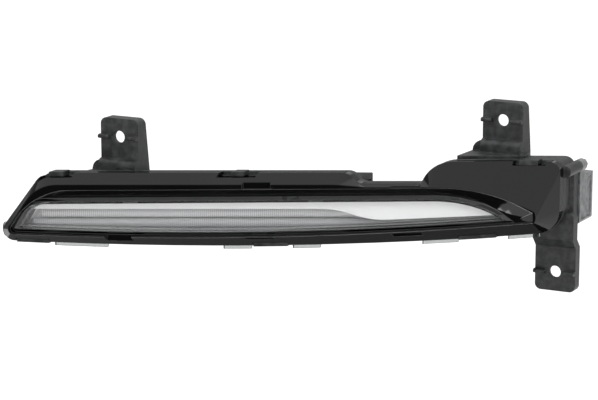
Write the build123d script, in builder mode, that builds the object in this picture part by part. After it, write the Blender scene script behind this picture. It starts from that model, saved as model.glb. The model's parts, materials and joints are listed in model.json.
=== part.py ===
import math
import os

from build123d import *

os.makedirs("parts", exist_ok=True)

# Frame in millimetres: origin in the hole of the upper outer tab, X outboard, Y rearward, Z up.
# The lens face is swept back, so sketches of the lamp lie on planes parallel to it.
SWEEP = 27.5
SWEEP_COS = math.cos(math.radians(SWEEP))
SWEEP_SIN = math.sin(math.radians(SWEEP))
REARWARD = (0, 1, 0)
FORWARD = (0, -1, 0)
LENS_X, LENS_Y, LENS_Z = -103.5, -87.4, -46.5

# Outlines by corner: u along the lamp, z up, corner radius
EDGE = [
    (-169.3, 16.2, 13.0),
    (27.8, 16.2, 8.5),
    (33.2, 9.1, 8.5),
    (74.1, 9.1, 4.9),
    (81.2, 23.2, 20.4),
    (121.0, 23.7, 1000.0),
    (155.0, 23.5, 10.0),
    (163.6, 23.1, 8.0),
    (163.6, -22.9, 15.0),
    (-17.5, -36.5, 2600.0),
    (-201.3, -27.7, 7.3),
]
BROW = [
    (-168.0, 10.1, 24.0),
    (24.0, 10.1, 40.0),
    (41.0, 8.5, 40.0),
    (76.0, 8.5, 30.0),
    (84.0, 8.2, 30.0),
    (121.0, 5.5, 140.0),
    (151.3, -8.2, 2.0),
    (152.0, -11.8, 4.0),
    (151.3, -15.4, 2.0),
    (-16.7, -28.8, 2600.0),
    (-189.8, -22.6, 3.6),
]
CREASE = [
    (-170.7, 6.05, 42.0),
    (106.0, 7.5, 90.0),
    (130.0, 1.4, 75.0),
    (149.9, -8.7, 0.8),
    (150.1, -14.6, 0.8),
    (-18.0, -27.6, 2500.0),
    (-186.9, -21.4, 2.6),
]
RIM = [
    (-176.0, 0.1, 18.0),
    (97.0, 2.0, 90.0),
    (121.0, -5.0, 60.0),
    (135.4, -14.9, 0.3),
    (136.2, -16.0, 0.3),
    (-24.0, -27.5, 2500.0),
    (-189.1, -21.5, 2.8),
]
BLADE_REGION = [
    (-200.0, -7.25, 0.0),
    (20.0, -7.3, 60.0),
    (42.0, -15.0, 60.0),
    (140.0, -10.6, 0.0),
    (140.0, 12.0, 0.0),
    (-200.0, 12.0, 0.0),
]
TRAY = [
    (-188.6, -22.3, 2.5),
    (-174.0, -3.8, 2.5),
    (16.0, -3.4, 0.0),
    (61.0, -2.6, 0.0),
    (118.0, -2.6, 0.0),
    (118.0, -19.4, 0.0),
    (34.0, -23.2, 0.0),
]
# Open outer end of the tray: left and right end along the lamp, bottom and top
TRAY_OPEN = (100.0, 125.0, -19.4, -2.6)

# Rearward travel of each plane from the lens face
RIM_AT = 5.6
EDGE_AT = 9.0
LENS_FRONT_AT = 3.8
BLADE_AT = 8.5
PLATE_AT = 13.0
SEAT_AT = 15.0
TRAY_AT = 15.6
FLANGE_LIP_AT = 17.6
GUIDE_AT = 18.8
FLANGE_END_AT = 19.0
TRAY_FLOOR_AT = 22.2
TRAY_END_AT = 23.9
BAY_AT = 30.0
REAR_IN_AT = 36.0
REAR_OUT_AT = 38.5

# Walls and clearances
BEZEL_WALL = 2.2
SEAT_GAP = 0.2
RIM_WIDTH = 2.2
RIM_RISE = 1.3
RIM_STEP = 0.35
RIM_SLOPE = 1.4
LENS_GROOVE = 0.2
LENS_WALL = 1.4
LENS_FACE = 1.8
FIT_GAP = 0.3
CLOSE_GAP = 0.1
BLADE = 1.7
BLADE_RETURN = 1.4
# Return of the blade: left and right end along the lamp, bottom and top
RETURN_SPAN = (-165.0, 92.0, -6.5, 10.0)
TRAY_WALL = 1.2

# Housing
BODY_INSET = 1.2
BODY_WALL = 2.5
FLANGE_WIDTH = 5.4
TOP_DROP = 3.6
# Sloping tops of the body: left and right end along the lamp, height in front
BODY_TOPS = [(-210.0, 30.5, 14.8), (30.5, 77.6, 7.8)]
SEAL_INSET = 3.0
SEAL_WIDTH = 1.4
SEAL_DEPTH = 1.2

# Mounting tabs
TAB_HOLE = 8.0
TAB_WIDTH = 28.0
TAB_PLATE = 2.5
TAB_WALL = 2.2
TAB_EDGE = 12.0
TAB_CORNER = 4.0
TAB_DEPTH_TOP = 9.5
TAB_DEPTH_FOOT = 14.3
FOOT_RADIUS = 4.5
FOOT_STEP = 4.0
RIB = 2.7
RIB_LENGTH = 7.5
RIB_PROUD = 4.0
OUTER_HOLE = (0.0, 0.0, 0.0)
INNER_HOLE = (-217.5, -120.0, -9.8)
LOWER_HOLE = (33.4, 13.0, -100.0)
OUTER_FOOT = -21.3
INNER_FOOT = -23.0
FLARE = 7.0
# Shelves under the upper tabs: left and right end along the lamp, travel of the front edge
SHELF = 5.0
OUTER_SHELF = (92.0, 136.0, 22.0)
INNER_SHELF = (-156.0, -116.0, 19.5)
LOWER_EDGE = 12.9
LOWER_TOP = 41.0
LOWER_DEPTH = 7.9
LOWER_JOG = 5.3
LOWER_JOG_FROM = 16.7
LOWER_JOG_TO = 22.6

# Height bands that pick the top, the bottom and the left end of the lamp edge
ABOVE = (0.0, 40.0)
BELOW = (-40.0, -15.0)
LEFT_END = (-26.0, -17.0)

# Snap hooks: middle along the lamp, width of the notch, width of the hook
TOP_HOOKS = [(-159.2, 22.0, 9.0), (-43.0, 25.0, 8.0), (143.5, 21.0, 12.0)]
BOTTOM_HOOKS = [(-174.9, 21.0, 20.4), (-21.8, 22.4, 21.8), (111.6, 24.4, 23.8)]
NOTCH_DEPTH = 2.6
NOTCH_AT = 3.5
HOOK_AT = 7.0
HOOK_PROUD = 1.0

# Lens lugs below the bezel: middle along the lamp and width
LENS_LUGS = [(-147.0, 34.0), (-46.0, 18.0), (-1.2, 17.8), (85.3, 23.0), (139.3, 20.0)]
LEFT_LUG = (-196.0, 20.0)
LUG_PROUD = 2.9
LUG_AT = 13.2
LUG = 1.5

# Recesses in the bezel: left, right, bottom, top and travel of the floor
RECESSES = [
    (-36.5, -18.6, 7.1, 12.5, 1.7),
    (58.0, 77.0, 7.9, 11.0, 2.4),
    (-125.1, -107.8, -27.6, -23.5, 4.2),
    (-35.2, -17.3, -26.0, -24.6, 2.4),
    (58.9, 78.0, -26.0, -21.9, 3.8),
]

# Light guides
GUIDE_R = 2.75
GUIDE_UPPER_Z = -11.8
GUIDE_LOWER_Z = -18.1
GUIDE_RISE = 3.8
GUIDE_RISE_FROM = 34.0
GUIDE_END_X = 8.1
GUIDE_END_Y = 2.0
GUIDE_BENDS = [60.0, 14.0]
GUIDE_UPPER_START = -175.6
GUIDE_LOWER_START = -180.9

# Screws: shank, head width, head height
M3 = (3.0, 5.5, 2.0)
M4 = (4.0, 7.0, 2.8)
TRAY_SCREWS = [(-120.0, 3.0), (0.0, 3.6), (94.0, 6.0)]
TRAY_EAR = 9.0
TRAY_SCREW = 9.0
LED_SCREW = 15.0
DRIVER_SCREW = 8.0
SINK_THREAD = 12.0
TRAY_BOSS = 6.5

# Diode board and its stack, going rearward from the rod ends
LED_GAP = 0.4
LED_SIZE = 3.5
LED_HEIGHT = 1.2
BOARD = 1.6
PAD = 0.5
LED_BOARD_WIDTH = 28.0
LED_BOARD_HEIGHT = 14.0
LED_SCREW_X = 11.0
HOLDER_FROM, HOLDER_TO = -1.6, 1.4
HOLDER_LEG = 6.0
LINK_X = 10.5
LINK_PITCH = 2.6
LINK_Z = -47.5
LINK_PIN = 0.8

# Module bay and heat sink
BAY_LEFT, BAY_RIGHT = -18.5, 43.0
BAY_BOTTOM, BAY_TOP = -70.8, -34.2
BAY_WALL = 3.0
BAY_END = 26.6
GASKET = 1.0
SINK_LEFT, SINK_RIGHT = -18.5, 44.0
SINK_BOTTOM, SINK_TOP = -69.9, -35.1
SINK_DEPTH = 23.0
SINK_PLATE = 5.0
SINK_ROUND = 2.0
FIN_TOP = -38.0
SINK_STEP_X = 9.5
SINK_BOSS = 8.0
SINK_EAR = 7.4
EAR_ROOT = 3.0
SINK_PANEL = 0.8
PANEL_BORDER = 2.4
FIN_SLOTS = 5
FIN_FIRST_X = 14.5
FIN_PITCH = 5.5
FIN_SLOT = 3.0
# Boss axes: x, z and the foremost point of the boss
SINK_SCREWS = [(41.8, -31.3, 5.0), (-21.9, -40.0, -8.0), (-21.9, -65.0, -8.0)]

# Driver board and connector
DRIVER_Y = 19.5
DRIVER_LEFT, DRIVER_RIGHT = -14.5, 39.5
DRIVER_BOTTOM, DRIVER_TOP = -49.4, -38.0
DRIVER_SCREWS = [8.3, 36.5]
DRIVER_Z = -43.7
STANDOFF = 5.5
# Parts on the driver board: place in x and width
CHIPS = [(26.5, 7.0), (13.1, 4.0)]
CHIP_RAISE = 1.0
CAPACITORS = [(31.9, 3.2), (-12.1, 3.2)]
CAPACITOR_HEIGHT = 4.5
PLUG_X, PLUG_Z = -4.5, -44.0
PLUG_WIDTH, PLUG_HEIGHT = 16.0, 10.0
PLUG_WALL = 1.5
PLUG_SHOULDER = 1.3
PLUG_FLOOR_Y = 26.0
PLUG_END_Y = 38.0
TERMINAL = 0.8
TERMINAL_PITCH = 3.0
TERMINAL_END_Y = 32.0

# Vent on the rear wall
VENT_U, VENT_Z = -60.0, -6.0
VENT_STUB = 8.0
VENT_BORE = 4.0
VENT_HEIGHT = 5.0
VENT_CAP = 12.0


def station(travel):
    """Plane parallel to the lens face, moved rearward by travel: x along the lamp, y up."""
    return Plane(
        origin=(LENS_X, LENS_Y + travel, LENS_Z),
        x_dir=(SWEEP_COS, SWEEP_SIN, 0),
        z_dir=(SWEEP_SIN, -SWEEP_COS, 0),
    )


def along(x):
    """Place along the lamp of a line that runs rearward at x."""
    return (x - LENS_X) / SWEEP_COS


def lamp_point(u, travel, z):
    """Point u along the lamp and z up on the plane at travel."""
    return (LENS_X + u * SWEEP_COS, LENS_Y + u * SWEEP_SIN + travel, LENS_Z + z)


def across(x, y, z):
    """Upright plane square to the car, facing forward."""
    return Plane(origin=(x, y, z), x_dir=(1, 0, 0), z_dir=FORWARD)


def side(x, y, z):
    """Upright plane along the car, facing outboard: x rearward, y up."""
    return Plane(origin=(x, y, z), x_dir=REARWARD, z_dir=(1, 0, 0))


def outline(corners):
    """Closed outline through the corners, each rounded by its radius."""
    with BuildLine() as line:
        FilletPolyline(*[(u, z) for u, z, _ in corners], radius=[r for _, _, r in corners], close=True)
    return line.edges()


def box_face(left, right, bottom, top):
    """Rectangle between four sides."""
    return Pos((left + right) / 2, (bottom + top) / 2) * Rectangle(
        right - left, top - bottom, mode=Mode.PRIVATE
    )


def edge_band(outward, inward, spans, bottom, top):
    """Strip along the lamp edge between two offsets of its outline, kept within the spans (middle, width)."""
    with BuildSketch() as core:
        make_face(outline(EDGE))
        offset(amount=-inward)
    with BuildSketch() as windows:
        for middle, width in spans:
            add(box_face(middle - width / 2, middle + width / 2, bottom, top))
    with BuildSketch() as band:
        make_face(outline(EDGE))
        offset(amount=outward)
        add(core.sketch, mode=Mode.SUBTRACT)
        add(windows.sketch, mode=Mode.INTERSECT)
    return band.sketch


def screw(plane, length, size):
    """Hexagon screw whose head sits on the plane and whose shank runs behind it."""
    shank, head, height = size
    with BuildPart() as body:
        with BuildSketch(plane):
            RegularPolygon(head / 2, 6)
        extrude(amount=height)
        with BuildSketch(plane):
            Circle(shank / 2)
        extrude(amount=-length)
    return body.part


def upper_tab(hole, foot):
    """Tab that stands on the housing: plate with walls behind, stepped foot, flare and two ribs."""
    x, y, z = hole
    left = -TAB_WIDTH / 2
    middle = (TAB_EDGE + foot) / 2
    crest = foot + FOOT_STEP + FOOT_RADIUS
    with BuildPart() as tab:
        with BuildSketch(across(x, y, z)) as plate:
            with Locations((0, middle)):
                Rectangle(TAB_WIDTH, TAB_EDGE - foot)
            fillet(plate.vertices().group_by(Axis.Y)[-1], TAB_CORNER)
        extrude(amount=-TAB_DEPTH_FOOT)
        with BuildSketch(across(x, y + TAB_PLATE, z)) as hollow:
            with Locations((0, middle - TAB_WALL)):
                Rectangle(TAB_WIDTH - 2 * TAB_WALL, TAB_EDGE - foot)
            fillet(hollow.vertices().group_by(Axis.Y)[-1], TAB_CORNER - TAB_WALL)
        extrude(amount=-TAB_DEPTH_FOOT, mode=Mode.SUBTRACT)
        with BuildSketch(across(x, y, z)):
            with BuildLine():
                Polyline((left, foot + FLARE), (left, foot), (left - FLARE, foot))
                RadiusArc((left - FLARE, foot), (left, foot + FLARE), FLARE)
            make_face()
        extrude(amount=-TAB_DEPTH_FOOT)
        with BuildSketch(side(x + left - FLARE - 1, y, z)):
            with BuildLine():
                Polyline(
                    (TAB_DEPTH_TOP, TAB_EDGE),
                    (TAB_DEPTH_FOOT, foot),
                    (2 * TAB_DEPTH_FOOT, foot - 10),
                    (2 * TAB_DEPTH_FOOT, TAB_EDGE + 1),
                    (TAB_DEPTH_TOP, TAB_EDGE + 1),
                    close=True,
                )
            make_face()
        extrude(amount=TAB_WIDTH + FLARE + 2, mode=Mode.SUBTRACT)
        with BuildSketch(side(x + left, y, z)):
            with BuildLine():
                Polyline((0, crest), (0, foot), (-FOOT_RADIUS, foot), (-FOOT_RADIUS, foot + FOOT_STEP))
                RadiusArc((-FOOT_RADIUS, foot + FOOT_STEP), (0, crest), FOOT_RADIUS)
            make_face()
        extrude(amount=TAB_WIDTH)
        add(tab_ribs(hole))
        with BuildSketch(across(x, y, z)):
            Circle(TAB_HOLE / 2)
        extrude(amount=-2 * TAB_PLATE, mode=Mode.SUBTRACT)
    return tab.part


def tab_ribs(hole):
    """Two round-nosed ribs on the front of a tab, level with its hole."""
    x, y, z = hole
    with BuildPart() as ribs:
        for start in (-TAB_WIDTH / 2, TAB_WIDTH / 2 - RIB_LENGTH):
            with BuildSketch(side(x + start, y, z)):
                with BuildLine():
                    nose = ThreePointArc(
                        (RIB / 2 - RIB_PROUD, -RIB / 2), (-RIB_PROUD, 0), (RIB / 2 - RIB_PROUD, RIB / 2)
                    )
                    Polyline(nose @ 1, (1, RIB / 2), (1, -RIB / 2), nose @ 0)
                make_face()
            extrude(amount=RIB_LENGTH)
    return ribs.part


def lower_tab(hole):
    """Tab that hangs below the housing, with a jog rearward."""
    x, y, z = hole
    jog = [(0, LOWER_JOG_FROM), (-LOWER_JOG, LOWER_JOG_TO)]
    with BuildPart() as tab:
        with BuildSketch(side(x - TAB_WIDTH / 2, y, z)):
            with BuildLine():
                Polyline(
                    (0, -LOWER_EDGE),
                    *jog,
                    (-LOWER_JOG, LOWER_TOP),
                    (LOWER_DEPTH - LOWER_JOG, LOWER_TOP),
                    (LOWER_DEPTH - LOWER_JOG, LOWER_JOG_TO),
                    (LOWER_DEPTH, LOWER_JOG_FROM),
                    (LOWER_DEPTH, -LOWER_EDGE),
                    close=True,
                )
            make_face()
        extrude(amount=TAB_WIDTH)
        fillet(tab.edges().filter_by(Axis.Y).group_by(Axis.Z)[0], TAB_CORNER)
        fillet(tab.edges().filter_by(Axis.Y).group_by(Axis.Z)[-1], TAB_CORNER)
        with BuildSketch(side(x - TAB_WIDTH / 2 + TAB_WALL, y + TAB_PLATE, z)):
            with BuildLine():
                Polyline(
                    (0, TAB_WALL - LOWER_EDGE),
                    *jog,
                    (-LOWER_JOG, LOWER_TOP - TAB_WALL),
                    (2 * LOWER_DEPTH, LOWER_TOP - TAB_WALL),
                    (2 * LOWER_DEPTH, TAB_WALL - LOWER_EDGE),
                    close=True,
                )
            make_face()
        extrude(amount=TAB_WIDTH - 2 * TAB_WALL, mode=Mode.SUBTRACT)
        add(tab_ribs(hole))
        with BuildSketch(across(x, y, z)):
            Circle(TAB_HOLE / 2)
        extrude(amount=-2 * TAB_PLATE, mode=Mode.SUBTRACT)
    return tab.part


def shelf(hole, foot, span):
    """Shelf between the housing and the foot of an upper tab."""
    x, y, z = hole
    u_left, u_right, front_at = span
    front_left = lamp_point(u_left, front_at, 0)
    front_right = lamp_point(u_right, front_at, 0)
    left = x - TAB_WIDTH / 2 - FLARE
    with BuildPart() as plate:
        with BuildSketch(Plane(origin=(0, 0, z + foot))):
            with BuildLine():
                Polyline(
                    front_left[:2],
                    front_right[:2],
                    (x + TAB_WIDTH / 2, y + TAB_DEPTH_FOOT),
                    (left, y + TAB_DEPTH_FOOT),
                    (left, y),
                    close=True,
                )
            make_face()
        extrude(amount=-SHELF)
    return plate.part


def above_top(left, right, top):
    """What lies above a sloping top of the body."""
    with BuildPart() as wedge:
        with BuildSketch(station(FLANGE_END_AT)):
            add(box_face(left, right, top, top + 2 * BODY_WALL))
        with BuildSketch(station(REAR_OUT_AT)):
            add(box_face(left, right, top - TOP_DROP, top + 2 * BODY_WALL))
        loft(ruled=True)
    return wedge.part


# Front bezel: sloped faces from brow to edge, skirt behind, pocket and rim round the lens
with BuildPart() as bezel_cavity:
    with BuildSketch(station(BEZEL_WALL)):
        make_face(outline(BROW))
        offset(amount=-BEZEL_WALL / 2)
    with BuildSketch(station(EDGE_AT)) as edge_inside:
        make_face(outline(EDGE))
        offset(amount=-BEZEL_WALL)
    loft(ruled=True)
    extrude(edge_inside.sketch, amount=SEAT_AT - EDGE_AT, dir=REARWARD)
    with BuildSketch(station(0)):
        make_face(outline(CREASE))
        offset(amount=BEZEL_WALL)
    with BuildSketch(station(RIM_AT + BEZEL_WALL)):
        make_face(outline(RIM))
        offset(amount=BEZEL_WALL)
    loft(ruled=True, mode=Mode.SUBTRACT)

with BuildPart() as bezel_pocket:
    with BuildSketch(station(0)):
        make_face(outline(CREASE))
    with BuildSketch(station(RIM_AT)):
        make_face(outline(RIM))
    loft(ruled=True)

with BuildPart() as bezel_rim:
    with BuildSketch(station(RIM_AT)):
        make_face(outline(RIM))
        offset(amount=-RIM_STEP)
    with BuildSketch(station(RIM_AT - RIM_RISE)):
        make_face(outline(RIM))
        offset(amount=-RIM_STEP - RIM_SLOPE)
    loft(ruled=True)

with BuildPart() as front_bezel:
    with BuildSketch(station(0)):
        make_face(outline(BROW))
    with BuildSketch(station(EDGE_AT)) as edge_outside:
        make_face(outline(EDGE))
    loft(ruled=True)
    extrude(edge_outside.sketch, amount=SEAT_AT - SEAT_GAP - EDGE_AT, dir=REARWARD)
    add(bezel_cavity.part, mode=Mode.SUBTRACT)
    add(bezel_pocket.part, mode=Mode.SUBTRACT)
    add(bezel_rim.part)
    with BuildSketch(station(-1)):
        make_face(outline(RIM))
        offset(amount=-RIM_WIDTH)
    extrude(amount=SEAT_AT, dir=REARWARD, mode=Mode.SUBTRACT)
    # Notches for the snap hooks, slots for the lens lugs, recesses
    with BuildSketch(station(NOTCH_AT)):
        add(edge_band(NOTCH_DEPTH, NOTCH_DEPTH, [(u, notch) for u, notch, _ in TOP_HOOKS], *ABOVE))
        add(edge_band(NOTCH_DEPTH, NOTCH_DEPTH, [(u, notch) for u, notch, _ in BOTTOM_HOOKS], *BELOW))
    extrude(amount=SEAT_AT, dir=REARWARD, mode=Mode.SUBTRACT)
    with BuildSketch(station(LUG_AT - FIT_GAP)):
        add(edge_band(1, NOTCH_DEPTH, [(u, width + 2 * FIT_GAP) for u, width in LENS_LUGS], *BELOW))
        add(edge_band(1, NOTCH_DEPTH, [LEFT_LUG], LEFT_END[0] - FIT_GAP, LEFT_END[1] + FIT_GAP))
    extrude(amount=SEAT_AT, dir=REARWARD, mode=Mode.SUBTRACT)
    for left, right, bottom, top, floor_at in RECESSES:
        with BuildSketch(station(-2)):
            add(box_face(left, right, bottom, top))
        extrude(amount=floor_at + 2, dir=REARWARD, mode=Mode.SUBTRACT)
front_bezel.part.label = "front_bezel"
export_step(front_bezel.part, "parts/front_bezel.step")

# Outer lens: blister in the bezel opening on a flange plate with lugs
LENS_INSET = RIM_WIDTH + LENS_GROOVE
with BuildPart() as outer_lens:
    with BuildSketch(station(LENS_FRONT_AT)):
        make_face(outline(RIM))
        offset(amount=-LENS_INSET)
    extrude(amount=PLATE_AT - LENS_FRONT_AT, dir=REARWARD)
    with BuildSketch(station(PLATE_AT)):
        make_face(outline(EDGE))
        offset(amount=-BEZEL_WALL - FIT_GAP - CLOSE_GAP)
    extrude(amount=SEAT_AT - PLATE_AT, dir=REARWARD)
    with BuildSketch(station(LUG_AT)):
        add(edge_band(LUG_PROUD, 2 * NOTCH_DEPTH, LENS_LUGS, *BELOW))
        add(edge_band(LUG_PROUD, 2 * NOTCH_DEPTH, [LEFT_LUG], *LEFT_END))
    extrude(amount=LUG, dir=REARWARD)
    with BuildSketch(station(LENS_FRONT_AT + LENS_FACE)):
        make_face(outline(RIM))
        offset(amount=-LENS_INSET - LENS_WALL)
    extrude(amount=SEAT_AT, dir=REARWARD, mode=Mode.SUBTRACT)
outer_lens.part.label = "outer_lens"
export_step(outer_lens.part, "parts/outer_lens.step")

# White blade behind the lens face, with a return along its top that stands on the tray
BLADE_INSET = LENS_INSET + LENS_WALL + FIT_GAP
with BuildSketch() as blade_core:
    make_face(outline(RIM))
    offset(amount=-BLADE_INSET - BLADE_RETURN)
with BuildPart() as white_blade:
    with BuildSketch(station(BLADE_AT)) as blade_face:
        make_face(outline(RIM))
        offset(amount=-BLADE_INSET)
        make_face(outline(BLADE_REGION), mode=Mode.INTERSECT)
    extrude(amount=BLADE, dir=REARWARD)
    with BuildSketch(station(BLADE_AT)):
        make_face(outline(RIM))
        offset(amount=-BLADE_INSET)
        add(blade_core.sketch, mode=Mode.SUBTRACT)
        add(box_face(*RETURN_SPAN), mode=Mode.INTERSECT)
    extrude(amount=TRAY_AT - CLOSE_GAP - BLADE_AT, dir=REARWARD)
white_blade.part.label = "white_blade"
export_step(white_blade.part, "parts/white_blade.step")


def guide(start, z):
    """Rod along the lamp that rises behind the blade and bends rearward to its diode."""
    corner = lamp_point(along(GUIDE_END_X), GUIDE_AT, z + GUIDE_RISE)
    with BuildPart() as rod:
        with BuildLine() as path:
            FilletPolyline(
                lamp_point(start, GUIDE_AT, z),
                lamp_point(GUIDE_RISE_FROM, GUIDE_AT, z),
                corner,
                (GUIDE_END_X, GUIDE_END_Y, corner[2]),
                radius=GUIDE_BENDS,
            )
        with BuildSketch(path.line ^ 0):
            Circle(GUIDE_R)
        sweep()
    return rod.part


upper_light_guide = guide(GUIDE_UPPER_START, GUIDE_UPPER_Z)
upper_light_guide.label = "upper_light_guide"
export_step(upper_light_guide, "parts/upper_light_guide.step")
lower_light_guide = guide(GUIDE_LOWER_START, GUIDE_LOWER_Z)
lower_light_guide.label = "lower_light_guide"
export_step(lower_light_guide, "parts/lower_light_guide.step")

# Reflector tray: trough open to the lens and at its outer end, with three screw ears
with BuildPart() as reflector_tray:
    with BuildSketch(station(TRAY_AT)):
        make_face(outline(TRAY))
    extrude(amount=TRAY_END_AT - TRAY_AT, dir=REARWARD)
    with BuildSketch(station(TRAY_FLOOR_AT)):
        for u, z in TRAY_SCREWS:
            add(box_face(u - TRAY_EAR / 2, u + TRAY_EAR / 2, -5, z + TRAY_EAR / 2))
    extrude(amount=TRAY_END_AT - TRAY_FLOOR_AT, dir=REARWARD)
    with BuildSketch(station(TRAY_AT)):
        make_face(outline(TRAY))
        offset(amount=-TRAY_WALL)
        add(box_face(TRAY_OPEN[0], TRAY_OPEN[1], TRAY_OPEN[2] + TRAY_WALL, TRAY_OPEN[3] - TRAY_WALL))
    extrude(amount=TRAY_FLOOR_AT - TRAY_AT, dir=REARWARD, mode=Mode.SUBTRACT)
    with BuildSketch(station(TRAY_FLOOR_AT)):
        with Locations(*TRAY_SCREWS):
            Circle(M3[0] / 2 + CLOSE_GAP)
    extrude(amount=-10, mode=Mode.SUBTRACT)
reflector_tray.part.label = "reflector_tray"
export_step(reflector_tray.part, "parts/reflector_tray.step")

TRAY_PLANE = station(TRAY_FLOOR_AT)
TRAY_BACK = TRAY_PLANE.offset((TRAY_FLOOR_AT - TRAY_END_AT) * SWEEP_COS)
TRAY_HEADS = [
    Plane(TRAY_PLANE.from_local_coords((u, z, 0)), TRAY_PLANE.x_dir, TRAY_PLANE.z_dir) for u, z in TRAY_SCREWS
]
tray_screws = Compound(label="tray_screws", children=[screw(head, TRAY_SCREW, M3) for head in TRAY_HEADS])
export_step(tray_screws, "parts/tray_screws.step")

# Housing: flange, body and module bay, then shelves, tabs and bosses, then what is hollow
with BuildPart() as housing_cavity:
    with BuildSketch(station(FLANGE_LIP_AT)):
        make_face(outline(EDGE))
        offset(amount=-BODY_INSET - BODY_WALL)
    extrude(amount=REAR_IN_AT - FLANGE_LIP_AT, dir=REARWARD)
    for left, right, top in BODY_TOPS:
        add(above_top(left, right, top - BODY_WALL), mode=Mode.SUBTRACT)

with BuildPart() as housing:
    with BuildSketch(station(SEAT_AT)):
        make_face(outline(EDGE))
    extrude(amount=FLANGE_END_AT - SEAT_AT, dir=REARWARD)
    with BuildSketch(station(FLANGE_END_AT)):
        make_face(outline(EDGE))
        offset(amount=-BODY_INSET)
    extrude(amount=REAR_OUT_AT - FLANGE_END_AT, dir=REARWARD)
    for left, right, top in BODY_TOPS:
        add(above_top(left, right, top), mode=Mode.SUBTRACT)
    with BuildSketch(station(BAY_AT)):
        add(box_face(along(BAY_LEFT), along(BAY_RIGHT), BAY_BOTTOM - LENS_Z, BAY_TOP - LENS_Z))
    extrude(amount=3 * BAY_AT, dir=REARWARD)
    with BuildSketch(across(0, BAY_END, LENS_Z)):
        Rectangle(400, 200)
    extrude(amount=-200, mode=Mode.SUBTRACT)
    add(shelf(OUTER_HOLE, OUTER_FOOT, OUTER_SHELF))
    add(shelf(INNER_HOLE, INNER_FOOT, INNER_SHELF))
    add(upper_tab(OUTER_HOLE, OUTER_FOOT))
    add(upper_tab(INNER_HOLE, INNER_FOOT))
    add(lower_tab(LOWER_HOLE))
    with BuildSketch(station(SEAT_AT)):
        Rectangle(600, 400)
    extrude(amount=100, mode=Mode.SUBTRACT)
    for x, z, front in SINK_SCREWS:
        with BuildSketch(across(x, BAY_END + GASKET - CLOSE_GAP, z)):
            Circle(SINK_BOSS / 2)
        extrude(amount=BAY_END + GASKET - CLOSE_GAP - front)
    with BuildSketch(station(HOOK_AT)):
        add(edge_band(HOOK_PROUD, NOTCH_DEPTH - FIT_GAP, [(u, hook) for u, _, hook in TOP_HOOKS], *ABOVE))
        add(edge_band(FIT_GAP, NOTCH_DEPTH - FIT_GAP, [(u, hook) for u, _, hook in BOTTOM_HOOKS], *BELOW))
    extrude(amount=SEAT_AT - HOOK_AT, dir=REARWARD)
    with BuildSketch(station(SEAT_AT)):
        make_face(outline(EDGE))
        offset(amount=-FLANGE_WIDTH)
    extrude(amount=FLANGE_LIP_AT - SEAT_AT, dir=REARWARD, mode=Mode.SUBTRACT)
    add(housing_cavity.part, mode=Mode.SUBTRACT)
    with BuildSketch(station(BAY_AT)):
        add(
            box_face(
                along(BAY_LEFT + BAY_WALL),
                along(BAY_RIGHT - BAY_WALL),
                BAY_BOTTOM + BAY_WALL - LENS_Z,
                BAY_TOP - BAY_WALL - LENS_Z,
            )
        )
    extrude(amount=3 * BAY_AT, dir=REARWARD, mode=Mode.SUBTRACT)
    with BuildSketch(station(SEAT_AT)):
        make_face(outline(EDGE))
        offset(amount=-SEAL_INSET)
        make_face(Wire(outline(EDGE)).offset_2d(-SEAL_INSET - SEAL_WIDTH).edges(), mode=Mode.SUBTRACT)
    extrude(amount=SEAL_DEPTH, dir=REARWARD, mode=Mode.SUBTRACT)
    for x, z, _ in SINK_SCREWS:
        with BuildSketch(across(x, BAY_END + GASKET, z)):
            Circle(M4[0] / 2 + CLOSE_GAP)
        extrude(amount=SINK_THREAD + 2, mode=Mode.SUBTRACT)
    with BuildSketch(TRAY_BACK):
        with Locations(*TRAY_SCREWS):
            Circle(TRAY_BOSS / 2)
    extrude(amount=-(REAR_IN_AT - TRAY_END_AT) * SWEEP_COS - 1)
    with BuildSketch(TRAY_BACK):
        with Locations(*TRAY_SCREWS):
            Circle(M3[0] / 2 + CLOSE_GAP)
    extrude(amount=-TRAY_SCREW, mode=Mode.SUBTRACT)
    with BuildSketch(station(REAR_OUT_AT)):
        with Locations((VENT_U, VENT_Z)):
            Circle(VENT_STUB / 2)
    extrude(amount=-VENT_HEIGHT)
    with BuildSketch(station(REAR_OUT_AT)):
        with Locations((VENT_U, VENT_Z)):
            Circle(VENT_BORE / 2)
    extrude(amount=2 * VENT_HEIGHT, both=True, mode=Mode.SUBTRACT)
housing.part.label = "housing"
export_step(housing.part, "parts/housing.step")

# Seal bead between lens plate and flange
with BuildPart() as lens_seal:
    with BuildSketch(station(SEAT_AT)):
        make_face(outline(EDGE))
        offset(amount=-SEAL_INSET - CLOSE_GAP)
        make_face(
            Wire(outline(EDGE)).offset_2d(CLOSE_GAP - SEAL_INSET - SEAL_WIDTH).edges(), mode=Mode.SUBTRACT
        )
    extrude(amount=SEAL_DEPTH, dir=REARWARD)
lens_seal.part.label = "lens_seal"
export_step(lens_seal.part, "parts/lens_seal.step")

# Vent cap over the stub
with BuildPart() as vent_cap:
    with BuildSketch(station(REAR_OUT_AT)):
        with Locations((VENT_U, VENT_Z)):
            Circle(VENT_CAP / 2)
    extrude(amount=-VENT_HEIGHT - 2)
    with BuildSketch(station(REAR_OUT_AT)):
        with Locations((VENT_U, VENT_Z)):
            Circle(VENT_STUB / 2 + CLOSE_GAP)
    extrude(amount=-VENT_HEIGHT, mode=Mode.SUBTRACT)
vent_cap.part.label = "vent_cap"
export_step(vent_cap.part, "parts/vent_cap.step")

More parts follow.
